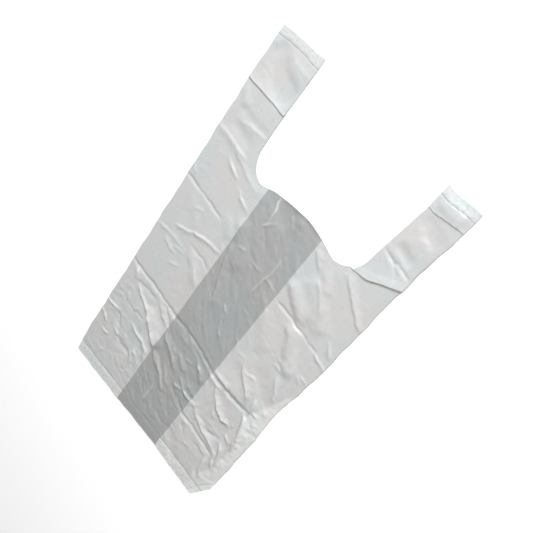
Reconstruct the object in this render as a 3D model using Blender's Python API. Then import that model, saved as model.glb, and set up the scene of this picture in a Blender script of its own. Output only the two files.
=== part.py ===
"""Plastic vest carrier bag, empty and lying flat on its back panel.

The bag is one flattened tube of blown film. Each side of the tube is tucked in as a gusset, so four
layers of film lie on each other at the sides and two in the middle. A seal across the bottom leaves
a loose skirt below it. One punched cut-out makes the mouth and the two handles, and a seal closes
the top of each handle. X runs across the bag, Y from the skirt to the handles, and Z up.
"""

import math

import bmesh
import bpy
from mathutils import Vector

# The bag, in metres. Plan places are measured from the lower left corner of the face.
FACE_WIDTH = 0.250
GUSSET_DEPTH = 0.0875
LEFT_HANDLE_TOP = 0.465
RIGHT_HANDLE_TOP = 0.453

# The film is drawn thicker than life, with a little air between its layers.
FILM = 0.0003
LAYER_PITCH = 0.0008
FOLD_RADIUS = LAYER_PITCH / 2
FOLD_STEPS = 6
LEVELS = [FILM / 2 + LAYER_PITCH * layer for layer in range(4)]

# The front panel stands a little proud of the back, between the bottom seal and the mouth.
CROWN_HEIGHT = 0.0018
CROWN_START = 0.022
CROWN_END = 0.345
FRONT_SPANS = 12

# The two side edges as the bag lies: distance up the bag, left edge, right edge.
LAID_EDGES = (
    (0.000, 0.002, 0.226),
    (0.010, 0.001, 0.235),
    (0.022, 0.000, 0.242),
    (0.042, 0.000, 0.246),
    (0.080, 0.000, 0.246),
    (0.120, 0.000, 0.245),
    (0.150, 0.000, 0.243),
    (0.175, 0.000, 0.243),
    (0.200, 0.000, 0.248),
    (0.240, 0.000, FACE_WIDTH),
    (0.280, 0.000, FACE_WIDTH),
    (0.320, 0.000, FACE_WIDTH),
    (0.345, 0.000, 0.249),
    (0.382, 0.000, 0.250),
    (0.415, 0.000, 0.253),
    (RIGHT_HANDLE_TOP, 0.001, 0.255),
    (LEFT_HANDLE_TOP, 0.002, 0.255),
)

# The cut-out: straight handle edges, an elliptical corner at each handle's foot, a shallow arch.
LEFT_HANDLE_EDGE = 0.056
LEFT_CORNER = (0.079, 0.333)
ARCH_TOP = (0.131, 0.3417)
RIGHT_CORNER = (0.183, 0.331)
RIGHT_HANDLE_FOOT = 0.208
RIGHT_HANDLE_EDGE = 0.217
CORNER_HEIGHT = 0.032
CORNER_STEPS = 8
ARCH_STEPS = 14
CUT_MARGIN = 0.020

# Seals: the distance up the bag, and where each starts and ends across it.
SEAL_WIDTH = 0.0014
BOTTOM_SEAL = (0.0135, 0.0022, 0.2345)
LEFT_HANDLE_SEAL = (0.4546, 0.0026, 0.0550)
RIGHT_HANDLE_SEAL = (0.4450, 0.2172, 0.2535)

FILM_COLOUR = (0.62, 0.64, 0.64, 1.0)
FILM_ROUGHNESS = 0.42


def clear_scene():
    """Takes away whatever the file holds, so that only the bag is left."""
    for item in list(bpy.data.objects):
        bpy.data.objects.remove(item, do_unlink=True)


def crown(x, y, left, right):
    """How far the front panel stands above its level at a place in plan."""
    along = (y - CROWN_START) / (CROWN_END - CROWN_START)
    if not 0 < along < 1:
        return 0.0
    across = 2 * (x - left) / (right - left) - 1
    return CROWN_HEIGHT * math.sin(math.pi * along) * (1 - across**2) ** 1.5


def fold(x, level, start, end):
    """A half-round fold about (x, level), as the mid-line of the film."""
    angles = [start + (end - start) * step / FOLD_STEPS for step in range(FOLD_STEPS + 1)]
    return [(x + FOLD_RADIUS * math.cos(a), level + FOLD_RADIUS * math.sin(a)) for a in angles]


def section(y, left, right):
    """The closed mid-line of the film across the bag at y, as (x, z) from the back panel round."""
    quarter = math.pi / 2
    inner_left = GUSSET_DEPTH - FOLD_RADIUS
    inner_right = FACE_WIDTH - GUSSET_DEPTH + FOLD_RADIUS
    outer_left = left + FOLD_RADIUS
    outer_right = right - FOLD_RADIUS
    lower, middle, upper = [level + FOLD_RADIUS for level in LEVELS[:3]]
    points = fold(outer_right, lower, -quarter, quarter)
    points += fold(inner_right, middle, 3 * quarter, quarter)
    points += fold(outer_right, upper, -quarter, quarter)
    for span in range(1, FRONT_SPANS):
        x = outer_right + (outer_left - outer_right) * span / FRONT_SPANS
        points.append((x, LEVELS[3] + crown(x, y, outer_left, outer_right)))
    points += fold(outer_left, upper, quarter, 3 * quarter)
    points += fold(inner_left, middle, quarter, -quarter)
    points += fold(outer_left, lower, quarter, 3 * quarter)
    return points


def offset(points, distance):
    """The closed line moved sideways: a positive distance goes to its right, away from the tube."""
    moved = []
    for index, (x, z) in enumerate(points):
        before = points[index - 1]
        after = points[(index + 1) % len(points)]
        along = Vector((after[0] - before[0], after[1] - before[1])).normalized()
        moved.append((x + along.y * distance, z - along.x * distance))
    return moved


def film_tube():
    """The gusseted tube: an outer and an inner skin, joined round the rims at its two ends."""
    mesh = bmesh.new()
    rows = []
    for y, left, right in LAID_EDGES:
        line = section(y, left, right)
        skins = [offset(line, FILM / 2), offset(line, -FILM / 2)]
        rows.append([[mesh.verts.new((x, y, z)) for x, z in skin] for skin in skins])
    count = len(rows[0][0])
    for index in range(count):
        after = (index + 1) % count
        for (outer, inner), (next_outer, next_inner) in zip(rows, rows[1:]):
            mesh.faces.new((outer[index], outer[after], next_outer[after], next_outer[index]))
            mesh.faces.new((inner[after], inner[index], next_inner[index], next_inner[after]))
        for outer, inner in (rows[0], rows[-1]):
            mesh.faces.new((outer[index], inner[index], inner[after], outer[after]))
    bmesh.ops.recalc_face_normals(mesh, faces=mesh.faces)
    return mesh


def ellipse_corner(centre_x, top, reach, start, end):
    """The rounded corner at a handle's foot, as plan points from angle start to angle end."""
    points = []
    for step in range(CORNER_STEPS + 1):
        angle = start + (end - start) * step / CORNER_STEPS
        points.append((centre_x + reach * math.cos(angle), top + CORNER_HEIGHT * math.sin(angle)))
    return points


def mouth_arch():
    """The shallow arch of the mouth between its corners, as one arc of a circle on each side."""
    points = []
    for step in range(1, ARCH_STEPS):
        x = LEFT_CORNER[0] + (RIGHT_CORNER[0] - LEFT_CORNER[0]) * step / ARCH_STEPS
        corner = LEFT_CORNER if x < ARCH_TOP[0] else RIGHT_CORNER
        half = abs(corner[0] - ARCH_TOP[0])
        rise = ARCH_TOP[1] - corner[1]
        radius = (half**2 + rise**2) / (2 * rise)
        drop = radius - math.sqrt(radius**2 - (x - ARCH_TOP[0]) ** 2)
        points.append((x, ARCH_TOP[1] - drop))
    return points


def cut_out_outline():
    """The plan outline of what the punch takes away, with the film above the shorter handle."""
    above = LEFT_HANDLE_TOP + CUT_MARGIN
    beyond = FACE_WIDTH + CUT_MARGIN
    left_reach = LEFT_CORNER[0] - LEFT_HANDLE_EDGE
    right_reach = RIGHT_HANDLE_FOOT - RIGHT_CORNER[0]
    outline = [(LEFT_HANDLE_EDGE, above)]
    outline += ellipse_corner(
        LEFT_CORNER[0], LEFT_CORNER[1] + CORNER_HEIGHT, left_reach, math.pi, math.pi * 1.5
    )
    outline += mouth_arch()
    outline += ellipse_corner(
        RIGHT_CORNER[0], RIGHT_CORNER[1] + CORNER_HEIGHT, right_reach, math.pi * 1.5, math.pi * 2
    )
    outline += [(RIGHT_HANDLE_EDGE, RIGHT_HANDLE_TOP), (beyond, RIGHT_HANDLE_TOP), (beyond, above)]
    return outline


def prism(outline, low, high):
    """A closed prism over a plan outline, from one height to another."""
    mesh = bmesh.new()
    base = mesh.faces.new([mesh.verts.new((x, y, low)) for x, y in outline])
    top = bmesh.ops.extrude_face_region(mesh, geom=[base])
    raised = [item for item in top["geom"] if isinstance(item, bmesh.types.BMVert)]
    bmesh.ops.translate(mesh, verts=raised, vec=(0, 0, high - low))
    bmesh.ops.recalc_face_normals(mesh, faces=mesh.faces)
    return mesh


def seal_bar(place):
    """The strip where heat has fused the layers, from the middle of the lowest to the topmost."""
    y, start, end = place
    low, high = y - SEAL_WIDTH / 2, y + SEAL_WIDTH / 2
    outline = [(start, low), (end, low), (end, high), (start, high)]
    return prism(outline, LEVELS[0], LEVELS[3])


def add_object(name, mesh):
    """Puts a bmesh in the scene as a named object."""
    data = bpy.data.meshes.new(name)
    mesh.to_mesh(data)
    mesh.free()
    item = bpy.data.objects.new(name, data)
    bpy.context.scene.collection.objects.link(item)
    return item


def add_boolean(bag, name, mesh, operation):
    """Cuts or joins a hidden shape to the bag."""
    tool = add_object(name, mesh)
    tool.display_type = "WIRE"
    tool.hide_render = True
    step = bag.modifiers.new(name, "BOOLEAN")
    step.operation = operation
    step.solver = "EXACT"
    step.object = tool
    return tool


def film_material():
    """White high-density polyethylene film, seen through several layers."""
    material = bpy.data.materials.new("white_film")
    material.use_nodes = True
    shader = material.node_tree.nodes["Principled BSDF"]
    shader.inputs["Base Color"].default_value = FILM_COLOUR
    shader.inputs["Roughness"].default_value = FILM_ROUGHNESS
    shader.inputs["Metallic"].default_value = 0.0
    return material


def build():
    """Makes the bag, cuts its mouth and handles, and fuses its seals."""
    clear_scene()
    bag = add_object("carrier_bag", film_tube())
    bag.data.materials.append(film_material())
    punch_top = LEVELS[3] + CUT_MARGIN
    punch = prism(cut_out_outline(), -CUT_MARGIN, punch_top)
    tools = [
        add_boolean(bag, "seal_bottom", seal_bar(BOTTOM_SEAL), "UNION"),
        add_boolean(bag, "seal_left_handle", seal_bar(LEFT_HANDLE_SEAL), "UNION"),
        add_boolean(bag, "seal_right_handle", seal_bar(RIGHT_HANDLE_SEAL), "UNION"),
        add_boolean(bag, "punch", punch, "DIFFERENCE"),
    ]
    widest = max(right for _, _, right in LAID_EDGES)
    for item in [bag, *tools]:
        item.location = (-widest / 2, -LEFT_HANDLE_TOP / 2, 0)


build()
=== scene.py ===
"""A thin plastic vest carrier bag, empty and lying flat on its back panel.

The bag is one flattened tube of blown film, tucked in at both sides. Plan places here are in
millimetres from the lower left corner of the face: x runs across the bag, y up towards the handles.
"""

import logging
import math
from dataclasses import dataclass, field, replace
from enum import Enum

import bmesh
import bpy
import numpy as np
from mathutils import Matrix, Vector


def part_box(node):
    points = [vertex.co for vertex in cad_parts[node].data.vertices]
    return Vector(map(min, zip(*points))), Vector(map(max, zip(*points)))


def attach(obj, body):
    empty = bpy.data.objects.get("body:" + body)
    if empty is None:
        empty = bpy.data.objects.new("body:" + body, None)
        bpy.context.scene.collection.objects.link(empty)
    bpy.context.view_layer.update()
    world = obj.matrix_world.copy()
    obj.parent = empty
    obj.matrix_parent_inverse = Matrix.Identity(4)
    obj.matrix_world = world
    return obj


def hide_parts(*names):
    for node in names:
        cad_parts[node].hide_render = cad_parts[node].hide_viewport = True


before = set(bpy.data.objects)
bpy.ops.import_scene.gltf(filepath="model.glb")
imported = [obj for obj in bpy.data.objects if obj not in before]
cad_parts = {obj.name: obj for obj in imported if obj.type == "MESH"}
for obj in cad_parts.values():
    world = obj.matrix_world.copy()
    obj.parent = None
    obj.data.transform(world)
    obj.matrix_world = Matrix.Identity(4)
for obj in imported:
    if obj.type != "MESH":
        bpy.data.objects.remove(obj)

MM = 0.001
LOG = logging.getLogger("carrier_bag")

Point = tuple[float, float]
Place = tuple[float, float, float]


def smooth(t: np.ndarray | float) -> np.ndarray:
    """Eases from 0 to 1 as t goes from 0 to 1, and stays level outside."""
    t = np.clip(t, 0.0, 1.0)
    return t * t * (3.0 - 2.0 * t)


def between(table: tuple[Point, ...], at: np.ndarray) -> np.ndarray:
    """Reads a table of places and values, in straight lines between its points."""
    return np.interp(at, *zip(*table))


def linear_colour(code: str, alpha: float = 1.0) -> tuple[float, float, float, float]:
    """Turns an sRGB hex colour into the linear values that shaders take.

    Args:
        code: The colour, such as "#D2D5D5".
        alpha: The fourth value.

    Returns:
        Red, green, blue and alpha, from 0 to 1.
    """
    parts = [int(code[i : i + 2], 16) / 255.0 for i in (1, 3, 5)]
    linear = [p / 12.92 if p <= 0.04045 else ((p + 0.055) / 1.055) ** 2.4 for p in parts]
    return (*linear, alpha)


class Form(Enum):
    """How film stands along a crease."""

    SHARP = "sharp"
    SOFT = "soft"


@dataclass(frozen=True)
class Crease:
    """A line along which the film stands up or sinks.

    Args:
        height: How far it stands up at its keenest, or sinks if negative, in mm.
        upper: How far it reaches to the left of its own direction, in mm.
        lower: How far it reaches to the right, in mm.
        points: The line, from its start to its end, in plan mm.
        form: Whether it is a set crease or a soft swell.
        whitening_and_highlight: How pale the film is painted along the line, from 0 to 1: partly film
            gone white under stretch, partly a painted highlight.
    """

    height: float
    upper: float
    lower: float
    points: tuple[Point, ...]
    form: Form = Form.SHARP
    whitening_and_highlight: float = 0.0


@dataclass(frozen=True)
class Crumple:
    """A scatter of small creases.

    Args:
        count: How many.
        seed: Makes the same ones each time.
        low: The lower left corner of where they are, in plan mm.
        high: The upper right corner.
        turns: Their ways of running: a mean and a spread, in degrees from across the bag.
        lengths: The least and the greatest length, in mm.
        heights: The least and the greatest height, in mm.
        bend: How far a crease's middle strays to its side, as a share of its length.
        keen_side: The least and the greatest reach of its keener side, in mm.
        slack_side: The same of its other side.
    """

    count: int
    seed: int
    low: Point
    high: Point
    turns: tuple[Point, ...]
    lengths: Point
    heights: Point
    bend: float = 0.14
    keen_side: Point = (1.6, 2.8)
    slack_side: Point = (2.5, 8.0)


@dataclass(frozen=True)
class Pleat:
    """A lap across a handle, where the film has slid back over itself.

    Args:
        start: Where its line starts, in flat mm.
        end: Where it ends.
        depth: How much film it takes up, in mm.
        run: How much film turns in it, in mm: under one and a half depths makes a true lap.
        lift: How high the lap stands, in mm.
        ease: How far beyond it the film takes to come down again, in mm.
        onset: How far from its start it takes to reach its full depth, in mm, or 0 if it does at once.
        first_share: How much of that depth it has close to its start already.
        first_reach: How far from its start it takes to reach this share, in mm.
    """

    start: Point
    end: Point
    depth: float
    run: float
    lift: float
    ease: float
    onset: float = 0.0
    first_share: float = 0.45
    first_reach: float = 6.0

    def past(self, x: np.ndarray, v: np.ndarray) -> np.ndarray:
        """How far each place in the flat film is beyond the line."""
        slope = (self.end[1] - self.start[1]) / (self.end[0] - self.start[0])
        return v - (self.start[1] + slope * (x - self.start[0]))

    def covers(self, x: np.ndarray) -> np.ndarray:
        """How fully the pleat is formed at each place, from 0 to 1."""
        own_side = (x < FACE_MIDDLE) == (self.start[0] < FACE_MIDDLE)
        if not self.onset:
            return own_side.astype(float)
        away = x - self.start[0]
        first = self.first_share * smooth(away / self.first_reach)
        return own_side * (first + (1.0 - self.first_share) * smooth(away / self.onset))

    def slide(self, q: np.ndarray) -> np.ndarray:
        """How far the film has slid back, q beyond the line."""
        return -self.depth * smooth(q / self.run)

    def rise(self, q: np.ndarray) -> np.ndarray:
        """How high the film stands, q beyond the line."""
        down = np.clip((q - self.run) / self.ease, 0.0, 1.0)
        return self.lift * smooth(q / self.run) * (1.0 - down) ** 2


@dataclass(frozen=True)
class CornerFold:
    """The lower right corner, turned under along a slanting line, each leaf round its own line.

    Args:
        upper: Where the front leaf's line starts, in flat mm.
        lower: Where it ends.
        offset: How much further out the back leaf's line is, in mm.
        rim: How far the film takes to settle over the turned corner's edge, in mm.
        reach: How far from the line the turned corner could lie at most, in mm.
        near_line: How close to the line a place counts as on it, in mm.
    """

    upper: Point = (248.5, 31.0)
    lower: Point = (226.5, -1.5)
    offset: float = 5.5
    rim: float = 4.0
    reach: float = 40.0
    near_line: float = 0.01

    def outward(self) -> Point:
        """The direction away from the bag, square to the line."""
        run, rise = self.upper[0] - self.lower[0], self.upper[1] - self.lower[1]
        length = math.hypot(run, rise)
        return rise / length, -run / length

    def on_line(self, leaf: float) -> Point:
        """A point of a leaf's line: 0 is the back leaf and 1 the front one."""
        across, along = self.outward()
        step = self.offset * (1.0 - leaf)
        return self.upper[0] + step * across, self.upper[1] + step * along

    def beyond(self, x: np.ndarray, v: np.ndarray, leaf: np.ndarray) -> np.ndarray:
        """How far each place is beyond its leaf's line, negative on the bag's side."""
        across, along = self.outward()
        away = (x - self.upper[0]) * across + (v - self.upper[1]) * along
        return away - self.offset * (1.0 - leaf)

    def covers(self, x: np.ndarray, v: np.ndarray) -> np.ndarray:
        """How fully the turned corner lies under each place, from 0 to 1."""
        across, along = self.outward()
        away = 2.0 * self.beyond(x, v, np.ones_like(x))
        inside = np.minimum(FACE - (x - away * across), v - away * along)
        return smooth(inside / self.rim + 0.5) * (away < self.reach)


# The flat film, in mm: the width of its face, the depth of its tucks and its length.
FACE = 250.0
FACE_MIDDLE = FACE / 2
GUSSET = 87.5
LENGTH = 466.5

# The cut: a shallow arch between two corners, and from each a curved foot up to a handle's edge.
MOUTH = 333.0
ARCH_RISE = 8.7
CORNERS = (79.0, 183.0)
HANDLE_EDGES = (56.0, 208.0)
FOOT_HEIGHT = 32.0

# How far up the seals lie, and how far one layer of film lies above the next.
BOTTOM_SEAL = 13.5
HANDLE_SEAL = LENGTH - 9.0
PITCH = 0.15


def clearance(x: np.ndarray, v: np.ndarray) -> np.ndarray:
    """How far each place in the flat film is from a side, the bottom or a handle's cut edge.

    Args:
        x: Places across the film, in mm.
        v: Places along it, in mm.

    Returns:
        The distances, in mm.
    """
    nearest = np.minimum.reduce([x, FACE - x, v])
    rise = np.clip(MOUTH + FOOT_HEIGHT - v, 0.0, None) / FOOT_HEIGHT
    for corner, edge in zip(CORNERS, HANDLE_EDGES):
        reach = abs(corner - edge)
        into_handle = (corner - x) * math.copysign(1.0, corner - edge) / reach
        oval = np.hypot(np.maximum(into_handle, 0.0), rise) - 1.0
        cut = (oval + np.maximum(-into_handle, 0.0)) * reach
        own_side = (x < FACE_MIDDLE) == (corner < FACE_MIDDLE)
        nearest = np.where(own_side, np.minimum(nearest, cut), nearest)
    return np.maximum(nearest, 0.0)


# The creases that handling has set, each at its own place. The band is the middle of the front
# panel, which has no tuck under it. Some creases start on it and run out over its edges.
LEFT_CREASES = (
    Crease(0.9, 3, 10, ((-8, 350), (20, 346.5), (35, 343.5), (52, 340.5))),
    Crease(0.45, 8, 5, ((28, 342), (45, 337), (60, 329.5), (72, 325), (84, 322.5))),
    Crease(0.65, 2.2, 6, ((28, 333.5), (40, 326.5), (50, 320.5), (60, 318))),
    Crease(0.75, 2.2, 6, ((50, 317), (62, 312), (72, 306.5), (88, 299))),
    Crease(0.4, 5, 2.5, ((-6, 300), (4, 293.5), (13, 290))),
    Crease(-1.1, 2.5, 3.2, ((-8, 285.5), (20, 281), (45, 278), (66, 273))),
    Crease(0.5, 8, 12, ((66, 286), (88, 263)), Form.SOFT),
    Crease(0.6, 10, 8, ((54, 224), (70, 208), (88, 188)), Form.SOFT),
    Crease(0.4, 3, 4, ((64, 216), (76, 205), (86, 191))),
    Crease(0.35, 6, 2.5, ((28, 260.5), (46, 265.5))),
    Crease(0.75, 2, 6, ((20, 228.5), (35, 233.5), (48, 240), (56, 241), (64, 244.5), (90, 245.5))),
    Crease(-0.5, 3, 3, ((48, 226), (62, 225), (76, 224), (88, 217))),
    Crease(0.5, 2.5, 6, ((-8, 214), (10, 217.5), (35, 217.5), (56, 216))),
    Crease(0.6, 6, 2, ((19, 213), (26, 205.5), (33, 202), (43, 203))),
    Crease(0.45, 5, 2, ((34, 208), (45, 210), (54, 212))),
    Crease(0.4, 3, 5, ((38, 189), (48, 193), (58, 198))),
    Crease(0.45, 6, 2.5, ((68, 179), (82, 172.5))),
    Crease(-0.5, 3, 7, ((18, 140), (35, 142.5), (52, 142.5), (60, 139))),
    Crease(0.6, 2, 5, ((14, 154), (20, 139))),
    Crease(-0.9, 2.5, 3, ((66, 149), (76, 142), (91, 129.5))),
    Crease(0.5, 2.5, 4, ((60, 145), (72, 136.5), (86, 127))),
    Crease(0.9, 4, 3, ((24, 138), (34, 133), (46, 127.5), (58, 119.5))),
    Crease(1.1, 6, 3, ((44, 128), (58, 119.5), (70, 109.5), (86, 96), (97, 83.5), (106, 78))),
    Crease(1.5, 17, 5, ((50, 127), (62, 118), (76, 106), (92, 92)), Form.SOFT),
    Crease(0.45, 6, 2.5, ((21, 120), (27, 110))),
    Crease(-0.6, 1.8, 2.2, ((28, 109), (38, 107))),
    Crease(-0.6, 1.8, 2.2, ((42, 109), (58, 108.5))),
    Crease(0.9, 2.2, 7, ((-8, 88), (12, 89.5), (25, 91.5))),
    Crease(-1.1, 3, 11, ((24, 91.5), (30, 83), (36, 72))),
    Crease(0.4, 2.2, 3, ((8, 80), (20, 88))),
    Crease(0.8, 2.5, 7, ((42, 92), (60, 89), (73, 87), (83, 79), (87, 64))),
    Crease(0.5, 3, 6, ((64, 80), (69, 71), (71, 62))),
    Crease(0.9, 2.5, 6, ((-8, 73), (6, 71), (13, 68.5), (19, 60))),
    Crease(0.7, 2.5, 5, ((28, 67.5), (37, 66), (41, 62))),
    Crease(-1.0, 4, 11, ((40, 64), (50, 58), (62, 59.5), (68, 54))),
    Crease(0.8, 4, 2.5, ((66, 66), (70, 56), (76, 42))),
    Crease(0.55, 2.2, 5, ((14, 51), (30, 53))),
)

BAND_CREASES = (
    Crease(-1.2, 3, 3.5, ((-8, 158.5), (20, 155), (50, 152.5), (88, 147.5), (115, 146))),
    Crease(-1.2, 3, 3.5, ((104, 146.5), (115, 146), (140, 141.5), (160, 135.5), (174, 130.5))),
    Crease(0.7, 4, 1.8, ((104, 341), (106, 325), (109, 309)), whitening_and_highlight=0.7),
    Crease(0.5, 2.5, 4, ((102, 300), (118, 319)), whitening_and_highlight=0.4),
    Crease(0.6, 7, 3, ((123, 336), (136, 320))),
    Crease(0.6, 4, 1.8, ((143, 297), (144, 275), (141, 260), (138, 238)), whitening_and_highlight=0.28),
    Crease(0.3, 2.5, 4, ((97, 267.5), (109, 270))),
    Crease(0.3, 2.5, 4, ((119, 268), (131, 264.5))),
    Crease(0.35, 2.5, 4, ((140, 266.5), (160, 260.5))),
    Crease(1.0, 16, 12, ((84, 296), (93, 277), (103, 258), (112, 240)), Form.SOFT),
    Crease(0.55, 3.5, 2, ((104, 339.5), (118, 341.2), (131, 341.8), (145, 341), (168, 337.5))),
    Crease(1.1, 12, 4, ((90, 268), (96, 246), (102, 226), (107, 208), (114, 189))),
    Crease(0.5, 2.5, 5, ((124, 209), (133, 200))),
    Crease(0.45, 2.5, 5, ((133, 182), (142, 174))),
    Crease(0.6, 3, 8, ((94, 93), (104, 84), (114, 76), (132, 58))),
    Crease(0.4, 6, 2.5, ((108, 92), (121, 79), (134, 67))),
    Crease(0.9, 10, 6, ((86, 123), (97, 116), (110, 108), (124, 94))),
    Crease(0.4, 6, 2.5, ((102, 122), (113, 112))),
    Crease(0.7, 8, 2.5, ((116, 119), (126, 110), (136, 102))),
    Crease(0.5, 2, 5, ((126, 118.5), (131, 121), (138, 121.5)), whitening_and_highlight=0.5),
    Crease(0.45, 2.5, 5, ((131, 84), (148, 85.5))),
    Crease(0.6, 3, 6, ((133, 101), (143, 92), (150, 86.5), (160, 85.5), (172, 88))),
    Crease(0.3, 2.5, 4, ((116, 62), (113.5, 20)), whitening_and_highlight=0.14),
    Crease(0.9, 8, 5, ((140, 129), (152, 122), (162, 112))),
    Crease(0.6, 8, 5, ((148, 100), (162, 91))),
    Crease(0.4, 6, 2.5, ((119, 79), (128, 68), (136, 60))),
)

RIGHT_CREASES = (
    Crease(0.7, 8, 3, ((162, 330), (172, 320.5), (182, 311))),
    Crease(0.6, 8, 6, ((184, 320), (202, 298)), Form.SOFT),
    Crease(0.8, 10, 3, ((202, 334), (215, 322), (229, 310.5), (239, 303), (256, 295.5))),
    Crease(0.6, 12, 4, ((182, 307), (196, 296), (212, 277))),
    Crease(0.7, 18, 14, ((176, 306), (196, 288), (226, 262)), Form.SOFT),
    Crease(1.2, 18, 9, ((161, 287), (178, 274), (205, 258)), Form.SOFT),
    Crease(-0.9, 2.2, 3.2, ((164, 258), (185, 255.5), (205, 252.5), (234, 247.5))),
    Crease(0.6, 2.2, 5, ((226, 248), (240, 245), (256, 238))),
    Crease(1.1, 16, 8, ((188, 251), (200, 240), (208, 227), (217, 213), (230, 202)), Form.SOFT),
    Crease(0.3, 2, 2, ((205, 212), (219, 210.5))),
    Crease(0.35, 5, 2, ((204, 205.5), (221, 202))),
    Crease(0.5, 2.5, 5, ((232, 219), (247, 214))),
    Crease(0.5, 5, 2.5, ((232, 216), (241, 207))),
    Crease(0.8, 6, 2.5, ((231, 268), (238, 262), (245, 252))),
    Crease(0.7, 5, 5, ((216, 200), (224, 186), (233, 168))),
    Crease(0.5, 2.5, 5, ((181, 177), (190, 171.5), (206, 172.5))),
    Crease(0.3, 5, 2, ((165, 179.5), (181, 181))),
    Crease(1.0, 9, 2.2, ((183, 175), (188, 167), (196, 159.5), (203, 155.5), (208, 148), (214, 144))),
    Crease(0.6, 4, 9, ((156, 136), (164, 133), (172, 130.5), (184, 128)), whitening_and_highlight=0.6),
    Crease(0.6, 8, 3, ((162, 141), (176, 140), (190, 138))),
    Crease(-1.0, 2.2, 3.5, ((180, 135.5), (195, 133.5), (212, 134), (222, 138))),
    Crease(0.8, 4, 2.5, ((217, 158), (220, 148), (221.5, 136))),
    Crease(0.5, 6, 2.2, ((222, 141), (234, 139.5))),
    Crease(0.5, 5, 3, ((176, 128), (180, 119), (186, 113))),
    Crease(1.2, 8, 2.2, ((182, 119), (188, 112), (196, 106.5), (204, 103), (217, 104.5))),
    Crease(1.3, 9, 2.2, ((216, 133), (222, 127), (226, 114), (230, 101), (231, 92), (231, 80))),
    Crease(0.4, 5, 2, ((188, 102), (196, 94))),
    Crease(0.7, 4, 2, ((216, 94), (227, 87))),
    Crease(-0.8, 2.5, 9, ((196, 77.5), (205, 78), (216, 83.5))),
    Crease(0.7, 7, 2.5, ((168, 88), (176, 80), (190, 73.5), (205, 69), (222, 63))),
    Crease(-1.2, 3, 4, ((143, 77), (153, 70), (163, 64.5), (185, 63), (205, 60), (224, 57))),
    Crease(1.3, 7, 2.2, ((218, 83), (224, 74), (229, 62), (233, 46))),
    Crease(0.9, 2.5, 6, ((216, 68), (222, 64), (228, 52), (232, 42))),
    Crease(0.8, 8, 4, ((217, 54), (220, 40), (223, 30), (228, 17))),
    Crease(0.7, 26, 5, ((158, 141), (185, 139), (216, 141)), Form.SOFT),
    Crease(0.5, 2, 1.8, ((241.5, 192), (240.5, 165), (242, 135), (243.5, 100), (244.5, 62))),
    Crease(0.3, 5, 2, ((186, 38), (197, 40.5))),
    Crease(0.35, 2.5, 4, ((202, 54), (217, 52))),
)

HANDLE_CREASES = (
    Crease(-2.3, 20, 18, ((6, 450), (18, 436), (32, 422), (56, 408)), Form.SOFT),
    Crease(0.4, 3, 6, ((28, 446.5), (57, 441))),
    Crease(0.9, 10, 9, ((-2, 398), (10, 388), (18, 377)), Form.SOFT),
    Crease(-0.5, 8, 5, ((8, 377.5), (30, 374), (60, 372.5)), Form.SOFT),
    Crease(0.6, 3, 8, ((14, 366.5), (30, 369), (60, 371))),
    Crease(-0.9, 9, 9, ((10, 362), (32, 356), (50, 352)), Form.SOFT),
    Crease(-1.2, 14, 12, ((218, 424), (236, 412), (252, 404)), Form.SOFT),
    Crease(0.3, 6, 8, ((220, 389), (232, 400), (244, 405)), Form.SOFT),
    Crease(1.3, 16, 12, ((206, 441), (230, 438), (256, 438)), Form.SOFT),
    Crease(0.8, 16, 14, ((-6, 441), (28, 440), (62, 436)), Form.SOFT),
    Crease(-1.1, 8, 7, ((217, 388), (229, 382), (244, 381)), Form.SOFT),
    Crease(-1.4, 2.2, 4, ((205, 378), (214, 375), (228, 370.5), (232, 373), (241, 370), (252, 367))),
    Crease(-0.5, 3, 4, ((228, 371), (236, 363), (240, 355))),
    Crease(0.4, 2.5, 4, ((214, 436), (222, 431.5))),
)

# Finer creases everywhere, and more of them in the band, low on the bag and at the crushed edge.
CRUMPLES = (
    Crumple(300, 11, (-4, 0), (254, 466), ((-42, 16), (-8, 14), (82, 14)), (9, 38), (0.05, 0.22)),
    Crumple(420, 12, (-4, 0), (254, 466), ((-40, 30), (-5, 25), (60, 30)), (4, 14), (0.05, 0.2)),
    Crumple(130, 13, (88, 165), (163, 335), ((-55, 7), (-48, 6)), (15, 50), (0.1, 0.42)),
    Crumple(110, 14, (88, 20), (163, 150), ((-48, 10), (-35, 10)), (10, 40), (0.08, 0.35)),
    Crumple(90, 15, (163, 20), (248, 175), ((-50, 25), (-10, 20), (70, 15)), (6, 26), (0.1, 0.4)),
    Crumple(90, 16, (0, 20), (88, 150), ((-45, 20), (-5, 12), (60, 20)), (6, 26), (0.08, 0.32)),
    Crumple(60, 17, (231, 20), (248, 200), ((20, 25), (-40, 20), (75, 15)), (7, 20), (0.1, 0.35)),
)

# One pleat on the left handle, and two on the right one, the first of them at its foot.
PLEATS = (
    Pleat((0, 404.4), (57, 398.6), depth=3.0, run=4.2, lift=1.05, ease=16),
    Pleat((198, 336.0), (250, 360.5), depth=9.5, run=7.0, lift=1.5, ease=30, onset=26),
    Pleat((208, 438.5), (250, 441.5), depth=3.8, run=3.5, lift=0.6, ease=18),
)


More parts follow.
